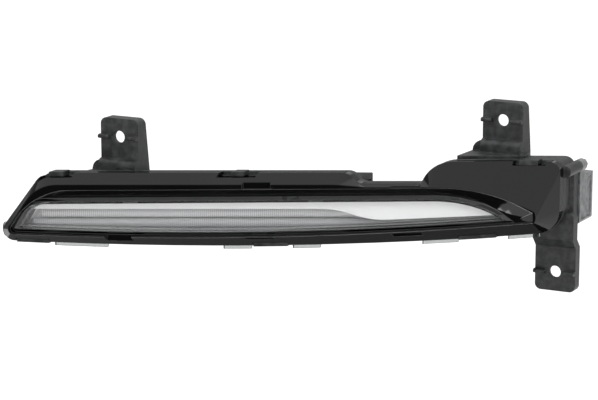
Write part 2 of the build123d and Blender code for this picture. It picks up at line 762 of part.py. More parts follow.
# Diode stack in front of the heat sink
LED_ZS = [LENS_Z + GUIDE_UPPER_Z + GUIDE_RISE, LENS_Z + GUIDE_LOWER_Z + GUIDE_RISE]
STACK_Z = sum(LED_ZS) / 2
LED_Y = GUIDE_END_Y + LED_GAP
LED_BOARD_Y = LED_Y + LED_HEIGHT
PAD_Y = LED_BOARD_Y + BOARD
PEDESTAL_Y = PAD_Y + PAD
LED_SCREWS = [(GUIDE_END_X - LED_SCREW_X, STACK_Z), (GUIDE_END_X + LED_SCREW_X, STACK_Z)]
LINKS = [(GUIDE_END_X + LINK_X + side_x * LINK_PITCH / 2, LINK_Z) for side_x in (-1, 1)]

with BuildPart() as leds:
    for z in LED_ZS:
        with BuildSketch(across(GUIDE_END_X, LED_BOARD_Y, z)):
            Rectangle(LED_SIZE, LED_SIZE)
        extrude(amount=LED_HEIGHT)
leds.part.label = "leds"
export_step(leds.part, "parts/leds.step")

with BuildPart() as led_board:
    with BuildSketch(across(0, LED_BOARD_Y, 0)):
        with Locations((GUIDE_END_X, STACK_Z)):
            Rectangle(LED_BOARD_WIDTH, LED_BOARD_HEIGHT)
        add(box_face(LINKS[0][0] - 2, LINKS[1][0] + 2, STACK_Z, LINK_Z + 2))
        with Locations(*LED_SCREWS):
            Circle(M3[0] / 2 + CLOSE_GAP, mode=Mode.SUBTRACT)
        with Locations(*LINKS):
            Rectangle(LINK_PIN + 2 * CLOSE_GAP, LINK_PIN + 2 * CLOSE_GAP, mode=Mode.SUBTRACT)
    extrude(amount=-BOARD)
led_board.part.label = "led_board"
export_step(led_board.part, "parts/led_board.step")

with BuildPart() as thermal_pad:
    with BuildSketch(across(GUIDE_END_X, PAD_Y, STACK_Z)):
        Rectangle(2 * LED_SCREW_X - M3[1], LED_BOARD_HEIGHT - 1)
    extrude(amount=-PAD)
thermal_pad.part.label = "thermal_pad"
export_step(thermal_pad.part, "parts/thermal_pad.step")

with BuildPart() as light_guide_holder:
    with BuildSketch(across(GUIDE_END_X, HOLDER_FROM, STACK_Z)):
        Rectangle(LED_BOARD_WIDTH, LED_BOARD_HEIGHT)
    extrude(amount=HOLDER_FROM - LED_BOARD_Y)
    with BuildSketch(across(GUIDE_END_X, HOLDER_TO, STACK_Z)):
        Rectangle(LED_BOARD_WIDTH - 2 * HOLDER_LEG, LED_BOARD_HEIGHT)
    extrude(amount=HOLDER_TO - LED_BOARD_Y, mode=Mode.SUBTRACT)
    with BuildSketch(across(0, HOLDER_FROM, 0)):
        with Locations(*[(GUIDE_END_X, z) for z in LED_ZS]):
            Circle(GUIDE_R + CLOSE_GAP)
        with Locations(*LED_SCREWS):
            Circle(M3[0] / 2 + CLOSE_GAP)
    extrude(amount=-20, mode=Mode.SUBTRACT)
light_guide_holder.part.label = "light_guide_holder"
export_step(light_guide_holder.part, "parts/light_guide_holder.step")

led_board_screws = Compound(
    label="led_board_screws",
    children=[screw(across(x, HOLDER_FROM, z), LED_SCREW, M3) for x, z in LED_SCREWS],
)
export_step(led_board_screws, "parts/led_board_screws.step")

# Heat sink: plate with ears, pedestal and standoffs in front, fins behind
SINK_Y = BAY_END + GASKET
SINK_HOLES = [(x, z) for x, z, _ in SINK_SCREWS]
with BuildPart() as heat_sink:
    with BuildSketch(across(0, SINK_Y, 0)):
        add(box_face(SINK_LEFT, SINK_RIGHT, SINK_BOTTOM, SINK_TOP))
    extrude(amount=-SINK_DEPTH)
    fillet(heat_sink.edges().filter_by(Axis.Y), SINK_ROUND)
    with BuildSketch(across(0, SINK_Y + SINK_PLATE, 0)):
        add(box_face(SINK_LEFT, SINK_STEP_X, SINK_BOTTOM, SINK_TOP))
        add(box_face(SINK_STEP_X, SINK_RIGHT, FIN_TOP, SINK_TOP))
    extrude(amount=-SINK_DEPTH, mode=Mode.SUBTRACT)
    with BuildSketch(across(0, SINK_Y + SINK_PLATE + 1, 0)):
        for k in range(FIN_SLOTS):
            with Locations((FIN_FIRST_X + k * FIN_PITCH, (SINK_BOTTOM + SINK_TOP) / 2)):
                Rectangle(FIN_SLOT, 2 * (SINK_TOP - SINK_BOTTOM))
    extrude(amount=-SINK_DEPTH, mode=Mode.SUBTRACT)
    with BuildSketch(side(SINK_RIGHT, SINK_Y + SINK_DEPTH / 2, (SINK_BOTTOM + FIN_TOP) / 2)) as panel:
        Rectangle(SINK_DEPTH - 2 * PANEL_BORDER, FIN_TOP - SINK_BOTTOM - 2 * PANEL_BORDER)
        fillet(panel.vertices(), SINK_ROUND)
    extrude(amount=-SINK_PANEL, mode=Mode.SUBTRACT)
    with BuildSketch(across(0, SINK_Y, 0)):
        with Locations(*SINK_HOLES):
            Circle(SINK_BOSS / 2)
        for x, z, _ in SINK_SCREWS[:1]:
            add(box_face(x - SINK_BOSS / 2, SINK_RIGHT, SINK_TOP - EAR_ROOT, z))
        for x, z, _ in SINK_SCREWS[1:]:
            add(box_face(x, SINK_LEFT + EAR_ROOT, z - SINK_BOSS / 2, z + SINK_BOSS / 2))
    extrude(amount=-SINK_EAR)
    with BuildSketch(across(GUIDE_END_X, PEDESTAL_Y, STACK_Z)):
        Rectangle(LED_BOARD_WIDTH, LED_BOARD_HEIGHT)
    extrude(amount=PEDESTAL_Y - SINK_Y)
    with BuildSketch(across(0, DRIVER_Y + BOARD, 0)):
        with Locations(*[(x, DRIVER_Z) for x in DRIVER_SCREWS]):
            Circle(STANDOFF / 2)
    extrude(amount=DRIVER_Y + BOARD - SINK_Y)
    with BuildSketch(across(0, PEDESTAL_Y, 0)):
        with Locations(*LED_SCREWS):
            Circle(M3[0] / 2 + CLOSE_GAP)
    extrude(amount=-10, mode=Mode.SUBTRACT)
    with BuildSketch(across(0, DRIVER_Y, 0)):
        with Locations(*[(x, DRIVER_Z) for x in DRIVER_SCREWS]):
            Circle(M3[0] / 2 + CLOSE_GAP)
    extrude(amount=-10, mode=Mode.SUBTRACT)
    with BuildSketch(across(0, SINK_Y, 0)):
        with Locations(*SINK_HOLES):
            Circle(M4[0] / 2 + FIT_GAP)
        with Locations((PLUG_X, PLUG_Z)):
            Rectangle(PLUG_WIDTH + 2 * FIT_GAP, PLUG_HEIGHT + 2 * FIT_GAP)
    extrude(amount=-SINK_DEPTH, mode=Mode.SUBTRACT)
heat_sink.part.label = "heat_sink"
export_step(heat_sink.part, "parts/heat_sink.step")

with BuildPart() as heat_sink_gasket:
    with BuildSketch(across(0, BAY_END, 0)):
        add(box_face(BAY_LEFT + FIT_GAP, BAY_RIGHT - FIT_GAP, SINK_BOTTOM + FIT_GAP, SINK_TOP - FIT_GAP))
        add(
            box_face(
                BAY_LEFT + BAY_WALL - FIT_GAP,
                BAY_RIGHT - BAY_WALL + FIT_GAP,
                BAY_BOTTOM + BAY_WALL - FIT_GAP,
                BAY_TOP - BAY_WALL + FIT_GAP,
            ),
            mode=Mode.SUBTRACT,
        )
        with Locations(*SINK_HOLES):
            Circle(SINK_BOSS / 2 + FIT_GAP, mode=Mode.SUBTRACT)
    extrude(amount=-GASKET)
heat_sink_gasket.part.label = "heat_sink_gasket"
export_step(heat_sink_gasket.part, "parts/heat_sink_gasket.step")


def facing_rear(x, y, z):
    """Upright plane square to the car, facing rearward."""
    return Plane(origin=(x, y, z), x_dir=(-1, 0, 0), z_dir=REARWARD)


heat_sink_screws = Compound(
    label="heat_sink_screws",
    children=[screw(facing_rear(x, SINK_Y + SINK_EAR, z), SINK_EAR + SINK_THREAD, M4) for x, z in SINK_HOLES],
)
export_step(heat_sink_screws, "parts/heat_sink_screws.step")

# Driver board with its parts, link pins and connector
TERMINALS = [(PLUG_X + (k - 1.5) * TERMINAL_PITCH, PLUG_Z) for k in range(4)]
with BuildPart() as driver_board:
    with BuildSketch(across(0, DRIVER_Y, 0)):
        add(box_face(DRIVER_LEFT, DRIVER_RIGHT, DRIVER_BOTTOM, DRIVER_TOP))
        with Locations(*[(x, DRIVER_Z) for x in DRIVER_SCREWS]):
            Circle(M3[0] / 2 + CLOSE_GAP, mode=Mode.SUBTRACT)
        with Locations(*LINKS):
            Rectangle(LINK_PIN + 2 * CLOSE_GAP, LINK_PIN + 2 * CLOSE_GAP, mode=Mode.SUBTRACT)
        with Locations(*TERMINALS):
            Rectangle(TERMINAL + 2 * CLOSE_GAP, TERMINAL + 2 * CLOSE_GAP, mode=Mode.SUBTRACT)
    extrude(amount=-BOARD)
driver_board.part.label = "driver_board"
export_step(driver_board.part, "parts/driver_board.step")

driver_board_screws = Compound(
    label="driver_board_screws",
    children=[screw(across(x, DRIVER_Y, DRIVER_Z), DRIVER_SCREW, M3) for x in DRIVER_SCREWS],
)
export_step(driver_board_screws, "parts/driver_board_screws.step")

with BuildPart() as driver_chips:
    for x, size in CHIPS:
        with BuildSketch(across(x, DRIVER_Y, DRIVER_Z + CHIP_RAISE)):
            Rectangle(size, size)
        extrude(amount=LED_HEIGHT)
driver_chips.part.label = "driver_chips"
export_step(driver_chips.part, "parts/driver_chips.step")

with BuildPart() as driver_capacitors:
    for x, size in CAPACITORS:
        with BuildSketch(across(x, DRIVER_Y, DRIVER_Z)):
            Rectangle(size, size)
        extrude(amount=CAPACITOR_HEIGHT)
driver_capacitors.part.label = "driver_capacitors"
export_step(driver_capacitors.part, "parts/driver_capacitors.step")

with BuildPart() as board_link_pins:
    for x, z in LINKS:
        with BuildSketch(across(x, LED_BOARD_Y - 0.8, z)):
            Rectangle(LINK_PIN, LINK_PIN)
        extrude(amount=LED_BOARD_Y - DRIVER_Y - BOARD - 1.6)
board_link_pins.part.label = "board_link_pins"
export_step(board_link_pins.part, "parts/board_link_pins.step")

PLUG_SEAL_Y = SINK_Y - 1.0
with BuildPart() as connector_socket:
    with BuildSketch(across(PLUG_X, DRIVER_Y + BOARD, PLUG_Z)):
        Rectangle(PLUG_WIDTH, PLUG_HEIGHT)
    extrude(amount=DRIVER_Y + BOARD - PLUG_END_Y)
    with BuildSketch(across(PLUG_X, PLUG_SEAL_Y, PLUG_Z)):
        Rectangle(PLUG_WIDTH + 2 * PLUG_SHOULDER, PLUG_HEIGHT + 2 * PLUG_SHOULDER)
    extrude(amount=1.5)
    with BuildSketch(across(PLUG_X, PLUG_FLOOR_Y, PLUG_Z)):
        Rectangle(PLUG_WIDTH - 2 * PLUG_WALL, PLUG_HEIGHT - 2 * PLUG_WALL)
    extrude(amount=-20, mode=Mode.SUBTRACT)
    with BuildSketch(across(0, DRIVER_Y, 0)):
        with Locations(*TERMINALS):
            Rectangle(TERMINAL, TERMINAL)
    extrude(amount=-20, mode=Mode.SUBTRACT)
connector_socket.part.label = "connector_socket"
export_step(connector_socket.part, "parts/connector_socket.step")

with BuildPart() as connector_terminals:
    with BuildSketch(across(0, DRIVER_Y - 1, 0)):
        with Locations(*TERMINALS):
            Rectangle(TERMINAL, TERMINAL)
    extrude(amount=DRIVER_Y - 1 - TERMINAL_END_Y)
connector_terminals.part.label = "connector_terminals"
export_step(connector_terminals.part, "parts/connector_terminals.step")

with BuildPart() as connector_seal:
    with BuildSketch(across(PLUG_X, PLUG_SEAL_Y, PLUG_Z)):
        Rectangle(PLUG_WIDTH + 2 * PLUG_SHOULDER, PLUG_HEIGHT + 2 * PLUG_SHOULDER)
        Rectangle(PLUG_WIDTH + CLOSE_GAP, PLUG_HEIGHT + CLOSE_GAP, mode=Mode.SUBTRACT)
    extrude(amount=PLUG_SEAL_Y - SINK_Y)
connector_seal.part.label = "connector_seal"
export_step(connector_seal.part, "parts/connector_seal.step")
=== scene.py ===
import json
import math

import bpy
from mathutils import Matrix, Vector


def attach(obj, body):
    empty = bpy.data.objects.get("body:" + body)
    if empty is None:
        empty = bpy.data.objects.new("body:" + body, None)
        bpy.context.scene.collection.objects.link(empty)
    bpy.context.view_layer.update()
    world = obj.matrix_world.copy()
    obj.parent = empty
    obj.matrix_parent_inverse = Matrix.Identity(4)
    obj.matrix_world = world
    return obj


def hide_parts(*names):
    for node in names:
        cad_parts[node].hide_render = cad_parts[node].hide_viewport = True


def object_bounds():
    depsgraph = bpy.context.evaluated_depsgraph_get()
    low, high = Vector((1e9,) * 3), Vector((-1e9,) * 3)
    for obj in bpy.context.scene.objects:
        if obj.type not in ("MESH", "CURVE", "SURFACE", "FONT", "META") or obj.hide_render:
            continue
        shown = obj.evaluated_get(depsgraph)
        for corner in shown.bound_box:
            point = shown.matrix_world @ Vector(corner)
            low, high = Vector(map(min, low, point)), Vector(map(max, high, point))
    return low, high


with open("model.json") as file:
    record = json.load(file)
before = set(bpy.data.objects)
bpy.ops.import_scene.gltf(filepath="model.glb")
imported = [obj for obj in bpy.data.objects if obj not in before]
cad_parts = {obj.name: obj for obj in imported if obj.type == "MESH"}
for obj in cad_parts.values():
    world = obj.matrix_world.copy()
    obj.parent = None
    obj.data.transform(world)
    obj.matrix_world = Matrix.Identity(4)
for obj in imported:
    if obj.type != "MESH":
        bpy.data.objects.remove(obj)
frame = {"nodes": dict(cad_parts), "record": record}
cad_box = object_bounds()

# The lamp's own directions and datum, in metres
SWEEP = math.radians(27.5)
ALONG = Vector((math.cos(SWEEP), math.sin(SWEEP), 0))
OUTWARD = Vector((math.sin(SWEEP), -math.cos(SWEEP), 0))
UP = Vector((0, 0, 1))
REARWARD = Vector((0, 1, 0))
LENS = Vector((-0.1035, -0.0874, -0.0465))

# Camera
CAMERA_DISTANCE = 1.5
CAMERA_ELEVATION = math.radians(12)
FOCAL_MM = 141.1
SENSOR_MM = 36.0

# Stage: a floor, and cards whose reflections shade the gloss, placed along and outward from the lamp datum
FLOOR_DROP = 0.26
FLOOR_SIZE = 12.0
FLOOR_GLOW = 0.3
CARD_LEFT, CARD_RIGHT = -0.4, 0.34
CARD_LIFT = 0.02
BACK_CARD_FROM = -0.9
LOW_CARD_FROM, LOW_CARD_TO = -0.03, 0.14
FRONT_CARD_FROM, FRONT_CARD_TO = 0.42, 0.85
FAR_CARD_HEIGHT = 0.38
CARD_MOTTLE = 5
CARD_ROUGH = (0.9, 1.0)
LEFT_CARD_AT = -1.3
LEFT_CARD_FROM, LEFT_CARD_DEPTH = -1.4, 3.0
LEFT_CARD_HEIGHT = 1.3
RIGHT_CARD_AT = 0.9
RIGHT_CARD_FROM, RIGHT_CARD_DEPTH = -1.5, 1.6
RIGHT_CARD_HEIGHT = 1.2
REAR_CARD_AT = -1.5
REAR_CARD_WIDTH, REAR_CARD_HEIGHT = 3.0, 0.95

# Glowing strips that line the bezel's front edge: left end, right end, nearest reach, glow
STRIPS = {"left_strip": (-0.4, 0.035, 0.14, 5.0), "right_strip": (0.035, 0.25, 0.26, 9.0)}

# Lights: one softbox above and in front, and the world as it is seen and as it lights matte surfaces
SOFTBOX_LEAN = 0.35
SOFTBOX_DISTANCE = 1.2
SOFTBOX_WIDTH, SOFTBOX_DEPTH = 1.6, 0.9
SOFTBOX_WATTS = 14
WORLD_SEEN, WORLD_LIGHT = 1.0, 0.85

# Surfaces: limits between which a value is spread, detail of the mottle, samples of the rounded edges
MID_LOW, MID_HIGH = 0.3, 0.7
MOTTLE_DETAIL = 8.0
EDGE_SAMPLES = 8

# Bezel: radius of its front and rear edges, depth between them, travel of the rim's two planes
FRONT_EDGE_R, REAR_EDGE_R = 0.0008, 0.0002
EDGE_DEPTH = 0.003
RIM_FRONT, RIM_BACK = 0.0043, 0.0056
RIM_PLAY = 0.00002

# Clear plastics: haze, lens with grey lugs and walls, guides with ticks of painted shade across their
# prisms and painted shade greying the lower rod
HAZE_SCALE = 40
HAZE_ROUGH = (0.0, 0.04)
LENS_IOR, GUIDE_IOR = 1.5, 1.49
LENS_FACE_DEPTH = 0.006
LENS_CLEAR = (0.995, 0.995, 0.995)
LENS_LUG_GREY = (0.45, 0.46, 0.46)
LENS_LUG_FROM, LENS_LUG_TO = 0.4, 0.6
LENS_WALL_CLEARNESS = 0.6
LENS_WALL_GREY = (0.5, 0.505, 0.51)
GUIDE_CLEARNESS = 0.15
# Dark end of the ticks: painted shade of the prism teeth
PRISM_TICK_SHADE = (0.74, 0.745, 0.755)
GUIDE_LIGHT = (0.97, 0.975, 0.98)
TICK_DARK_TO, TICK_LIGHT_FROM = 0.2, 0.6
# Painted shade: the lower rod, of the same plastic as the upper, is greyed
LOW_GUIDE_PAINTED_SHADE = (0.76, 0.765, 0.77)
HIGH_GUIDE_WHITE = (1.0, 1.0, 1.0)
GUIDE_PARTING = LENS.z - 0.015
PARTING_BLUR = 0.0004

# Light guides: path, rod and teeth, and each rod's start along the lamp and height
GUIDE_AT = 0.0188
GUIDE_R = 0.00275
GUIDE_RISE = 0.0038
GUIDE_RISE_FROM = 0.034
GUIDE_END_X = 0.0081
GUIDE_END_Y = 0.002
GUIDE_BENDS = (0.060, 0.014)
GUIDES = {"upper_light_guide": (-0.1756, -0.0118), "lower_light_guide": (-0.1809, -0.0181)}
GUIDE_SIDES = 24
TOOTH_PITCH = 0.0013
TOOTH_DEPTH = 0.0007
TOOTH_SECTOR = math.radians(62)


def lamp_point(u, travel, z):
    """Point u along the lamp and z up on the plane that lies travel behind the lens face."""
    return LENS + ALONG * u + REARWARD * travel + UP * z


# Materials


def new_material(name):
    """Empty node material with its shader, output and object coordinates."""
    material = bpy.data.materials.new(name)
    material.use_nodes = True
    nodes = material.node_tree.nodes
    shader = nodes["Principled BSDF"]
    place = nodes.new("ShaderNodeTexCoord").outputs["Object"]
    return material, nodes, material.node_tree.links, shader, place


def noise(nodes, links, place, scale, detail=4.0):
    """Noise value over the object."""
    texture = nodes.new("ShaderNodeTexNoise")
    texture.inputs["Scale"].default_value = scale
    texture.inputs["Detail"].default_value = detail
    links.new(place, texture.inputs["Vector"])
    return texture.outputs["Fac"]


def ramp(nodes, links, value, low, high, start=MID_LOW, end=MID_HIGH):
    """Colour between two ends by a value."""
    node = nodes.new("ShaderNodeValToRGB")
    node.color_ramp.elements[0].position = start
    node.color_ramp.elements[1].position = end
    node.color_ramp.elements[0].color = (*low, 1)
    node.color_ramp.elements[1].color = (*high, 1)
    links.new(value, node.inputs["Fac"])
    return node.outputs["Color"]


def spread(nodes, links, value, low, high):
    """Value mapped to a range."""
    node = nodes.new("ShaderNodeMapRange")
    node.inputs["From Min"].default_value = MID_LOW
    node.inputs["From Max"].default_value = MID_HIGH
    node.inputs["To Min"].default_value = low
    node.inputs["To Max"].default_value = high
    links.new(value, node.inputs["Value"])
    return node.outputs["Result"]


def dot(nodes, links, vector, direction):
    """Length of a vector along a direction."""
    node = nodes.new("ShaderNodeVectorMath")
    node.operation = "DOT_PRODUCT"
    node.inputs[1].default_value = direction
    links.new(vector, node.inputs[0])
    return node.outputs["Value"]


def product(nodes, links, first, second):
    """Two colours multiplied."""
    node = nodes.new("ShaderNodeVectorMath")
    node.operation = "MULTIPLY"
    links.new(first, node.inputs[0])
    links.new(second, node.inputs[1])
    return node.outputs["Vector"]


def changed(nodes, links, operation, value):
    """Value after one operation on it."""
    node = nodes.new("ShaderNodeMath")
    node.operation = operation
    links.new(value, node.inputs[0])
    return node.outputs["Value"]


def by_ray(nodes, links, seen, matte):
    """One value for what is seen or mirrored, another for light on matte surfaces."""
    path = nodes.new("ShaderNodeLightPath")
    node = nodes.new("ShaderNodeMapRange")
    node.inputs["To Min"].default_value = seen
    node.inputs["To Max"].default_value = matte
    links.new(path.outputs["Is Diffuse Ray"], node.inputs["Value"])
    return node.outputs["Result"]


def surface(
    name, low, high, mottle, rough,
    spots=(MID_LOW, MID_HIGH), grain=0.0, grain_scale=900, edge=0.0, **sockets,
):
    """Mottled surface: colours, mottle scale, roughness range, spot limits, grain height, edge radius."""
    material, nodes, links, shader, place = new_material(name)
    value = noise(nodes, links, place, mottle, MOTTLE_DETAIL)
    links.new(ramp(nodes, links, value, low, high, *spots), shader.inputs["Base Color"])
    links.new(spread(nodes, links, value, *rough), shader.inputs["Roughness"])
    normal = None
    if edge:
        rounded = nodes.new("ShaderNodeBevel")
        rounded.samples = EDGE_SAMPLES
        rounded.inputs["Radius"].default_value = edge
        normal = rounded.outputs["Normal"]
    if grain:
        bump = nodes.new("ShaderNodeBump")
        bump.inputs["Strength"].default_value = 1.0
        bump.inputs["Distance"].default_value = grain
        links.new(noise(nodes, links, place, grain_scale), bump.inputs["Height"])
        if normal:
            links.new(normal, bump.inputs["Normal"])
        normal = bump.outputs["Normal"]
    if normal:
        links.new(normal, shader.inputs["Normal"])
    for socket, setting in sockets.items():
        shader.inputs[socket.replace("_", " ")].default_value = setting
    return material


def measure(nodes, links, place, direction, start, end):
    """Value that goes from 0 to 1 between two distances along a direction."""
    node = nodes.new("ShaderNodeMapRange")
    node.clamp = False
    node.inputs["From Min"].default_value = start
    node.inputs["From Max"].default_value = end
    links.new(dot(nodes, links, place, direction), node.inputs["Value"])
    return node.outputs["Result"]


def bezel_gloss(name):
    """Gloss black whose front edges are rounder than the edges behind them."""
    material = surface(
        name, (0.0025, 0.0027, 0.0026), (0.0035, 0.0036, 0.0035), 30, (0.03, 0.05),
        edge=FRONT_EDGE_R, Specular_IOR_Level=0.42,
    )
    nodes = material.node_tree.nodes
    links = material.node_tree.links
    place = nodes["Texture Coordinate"].outputs["Object"]
    face = LENS.dot(OUTWARD)
    depth = measure(nodes, links, place, OUTWARD, face, face - EDGE_DEPTH)
    radius = nodes.new("ShaderNodeMapRange")
    radius.inputs["To Min"].default_value = FRONT_EDGE_R
    radius.inputs["To Max"].default_value = REAR_EDGE_R
    links.new(depth, radius.inputs["Value"])
    links.new(radius.outputs["Result"], nodes["Bevel"].inputs["Radius"])
    return material


def clear_plastic(name, ior, share):
    """Plastic of which a share is clear, and which throws no shadow on what lies behind it."""
    material, nodes, links, shader, place = new_material(name)
    haze = noise(nodes, links, place, HAZE_SCALE)
    links.new(spread(nodes, links, haze, *HAZE_ROUGH), shader.inputs["Roughness"])
    shader.inputs["Transmission Weight"].default_value = share
    shader.inputs["IOR"].default_value = ior
    through = nodes.new("ShaderNodeBsdfTransparent")
    path = nodes.new("ShaderNodeLightPath")
    mix = nodes.new("ShaderNodeMixShader")
    links.new(path.outputs["Is Shadow Ray"], mix.inputs["Fac"])
    links.new(shader.outputs["BSDF"], mix.inputs[1])
    links.new(through.outputs["BSDF"], mix.inputs[2])
    links.new(mix.outputs["Shader"], nodes["Material Output"].inputs["Surface"])
    return material, nodes, links, shader, place


def lens_plastic(name):
    """Clear lens with milky side walls, whose flange plate and lugs, far behind the face, are grey."""
    material, nodes, links, shader, place = clear_plastic(name, LENS_IOR, 1.0)
    face = LENS.dot(OUTWARD) - LENS_FACE_DEPTH
    behind = measure(nodes, links, place, OUTWARD, face, face - LENS_FACE_DEPTH)
    normal = nodes.new("ShaderNodeNewGeometry").outputs["True Normal"]
    facing = changed(nodes, links, "ABSOLUTE", dot(nodes, links, normal, OUTWARD))
    clearness = spread(nodes, links, facing, LENS_WALL_CLEARNESS, 1.0)
    links.new(clearness, shader.inputs["Transmission Weight"])
    depth_colour = ramp(nodes, links, behind, LENS_CLEAR, LENS_LUG_GREY, LENS_LUG_FROM, LENS_LUG_TO)
    wall_colour = ramp(nodes, links, facing, LENS_WALL_GREY, LENS_CLEAR)
    links.new(product(nodes, links, depth_colour, wall_colour), shader.inputs["Base Color"])
    return material


def guide_plastic(name):
    """Milky clear rod with ticks of painted shade across it at its prisms, and painted shade that greys the
    lower rod.
    """
    material, nodes, links, shader, place = clear_plastic(name, GUIDE_IOR, GUIDE_CLEARNESS)
    # Ticks at the teeth's pitch are painted shade of the prisms, not a print
    ticks = changed(nodes, links, "FRACT", measure(nodes, links, place, ALONG, 0.0, TOOTH_PITCH))
    # Painted shade by height: the lower rod greyer than the upper
    height = measure(nodes, links, place, UP, GUIDE_PARTING - PARTING_BLUR, GUIDE_PARTING + PARTING_BLUR)
    tick_shade = ramp(nodes, links, ticks, PRISM_TICK_SHADE, GUIDE_LIGHT, TICK_DARK_TO, TICK_LIGHT_FROM)
    rod_shade = ramp(nodes, links, height, LOW_GUIDE_PAINTED_SHADE, HIGH_GUIDE_WHITE)
    links.new(product(nodes, links, tick_shade, rod_shade), shader.inputs["Base Color"])
    return material


materials = {
    "housing_black": surface(
        "housing_black", (0.013, 0.0138, 0.014), (0.05, 0.052, 0.053), 230, (0.36, 0.54),
        spots=(0.4, 0.78), grain=0.0001, grain_scale=1300, edge=0.0011,
    ),
    "bezel_gloss_black": bezel_gloss("bezel_gloss_black"),
    # Rim: real satin roughness, and a lighter grey that is painted reflection
    "bezel_satin_painted_sheen": surface(
        "bezel_satin_painted_sheen", (0.036, 0.038, 0.037), (0.043, 0.045, 0.044), 60, (0.25, 0.35), edge=0.0002
    ),
    "clear_lens": lens_plastic("clear_lens"),
    "white_trim": surface("white_trim", (0.93, 0.94, 0.94), (0.96, 0.965, 0.965), 60, (0.3, 0.4)),
    "clear_guide": guide_plastic("clear_guide"),
    "silver_reflector": surface(
        "silver_reflector", (0.88, 0.885, 0.89), (0.93, 0.935, 0.94), 50, (0.3, 0.4), Metallic=0.1
    ),
    "screw_steel": surface(
        "screw_steel", (0.45, 0.45, 0.45), (0.6, 0.6, 0.6), 300, (0.25, 0.4), Metallic=1.0
    ),
    "holder_plastic": surface("holder_plastic", (0.62, 0.62, 0.61), (0.7, 0.7, 0.69), 200, (0.4, 0.55)),
    "board_laminate": surface("board_laminate", (0.015, 0.12, 0.04), (0.03, 0.18, 0.07), 300, (0.3, 0.45)),
    "diode_package": surface("diode_package", (0.75, 0.68, 0.3), (0.85, 0.8, 0.42), 400, (0.3, 0.45)),
    "pad_rubber": surface("pad_rubber", (0.35, 0.36, 0.38), (0.45, 0.46, 0.48), 300, (0.6, 0.8)),
    "seal_rubber": surface("seal_rubber", (0.012, 0.012, 0.012), (0.02, 0.02, 0.02), 200, (0.55, 0.75)),
    "die_cast_aluminium": surface(
        "die_cast_aluminium", (0.17, 0.174, 0.178), (0.36, 0.364, 0.368), 260, (0.4, 0.6),
        grain=0.00012, grain_scale=700, edge=0.0005, Metallic=0.7,
    ),
    "chip_plastic": surface("chip_plastic", (0.012, 0.012, 0.013), (0.02, 0.02, 0.022), 500, (0.4, 0.55)),
    "capacitor_can": surface(
        "capacitor_can", (0.5, 0.5, 0.5), (0.62, 0.62, 0.62), 400, (0.25, 0.4), Metallic=1.0
    ),
    "pin_brass": surface(
        "pin_brass", (0.55, 0.45, 0.22), (0.68, 0.56, 0.3), 500, (0.25, 0.4), Metallic=1.0
    ),
    "connector_plastic": surface(
        "connector_plastic", (0.012, 0.012, 0.012), (0.02, 0.02, 0.02), 300, (0.4, 0.55),
        grain=0.00003, grain_scale=1500,
    ),
}
for part in frame["record"]["subparts"]:
    mesh = frame["nodes"][part["node"]].data
    mesh.materials.clear()
    mesh.materials.append(materials[part["material_slot"]])

# The bezel's rim round the lens is satin, rougher than the gloss, with a lighter grey that is a painted
# reflection of a rounded rim: the faces whose corners all lie on the rim's two planes
bezel = frame["nodes"]["front_bezel"].data
bezel.materials.append(materials["bezel_satin_painted_sheen"])
travels = [(LENS - vertex.co).dot(OUTWARD) / ALONG.x for vertex in bezel.vertices]
on_rim = [min(abs(travel - RIM_FRONT), abs(travel - RIM_BACK)) < RIM_PLAY for travel in travels]
for polygon in bezel.polygons:
    if all(on_rim[index] for index in polygon.vertices):
        polygon.material_index = 1


# Light guides with prism teeth on their rear side


def bend(before, corner, after, radius, steps=14):
    """Points of the arc that rounds a corner of the path."""
    back = (before - corner).normalized()
    ahead = (after - corner).normalized()
    half = back.angle(ahead) / 2
    centre = corner + (back + ahead).normalized() * (radius / math.sin(half))
    first = (corner + back * (radius / math.tan(half)) - centre).normalized()
    last = (corner + ahead * (radius / math.tan(half)) - centre).normalized()
    return [centre + first.slerp(last, k / steps) * radius for k in range(steps + 1)]


def guide_path(start, z):
    """Points of a guide's centre line, and whether a notch is cut at each."""
    begin = lamp_point(start, GUIDE_AT, z)
    rise = lamp_point(GUIDE_RISE_FROM, GUIDE_AT, z)
    corner = lamp_point((GUIDE_END_X - LENS.x) / ALONG.x, GUIDE_AT, z + GUIDE_RISE)
    end = Vector((GUIDE_END_X, GUIDE_END_Y, corner.z))
    first_bend = bend(begin, rise, corner, GUIDE_BENDS[0])
    second_bend = bend(rise, corner, end, GUIDE_BENDS[1])
    stops = 2 * int((first_bend[0] - begin).length / TOOTH_PITCH)
    path = [begin.lerp(first_bend[0], k / stops) for k in range(stops)]
    cut = [k % 2 == 1 for k in range(stops)]
    path += first_bend + second_bend + [end]
    cut += [False] * (len(path) - len(cut))
    return path, cut


def guide_section(before, point, after, notched):
    """Corners of the rod's round section at a point of its path, with the rear side cut back in a notch."""
    tangent = (after - before).normalized()
    side = tangent.cross(UP).normalized()
    top = side.cross(tangent).normalized()
    corners = []
    for step in range(GUIDE_SIDES):
        angle = 2 * math.pi * step / GUIDE_SIDES
        rear = abs(angle - math.pi) < TOOTH_SECTOR
        radius = GUIDE_R - (TOOTH_DEPTH if notched and rear else 0)
        corners.append(point + side * radius * math.cos(angle) + top * radius * math.sin(angle))
    return corners


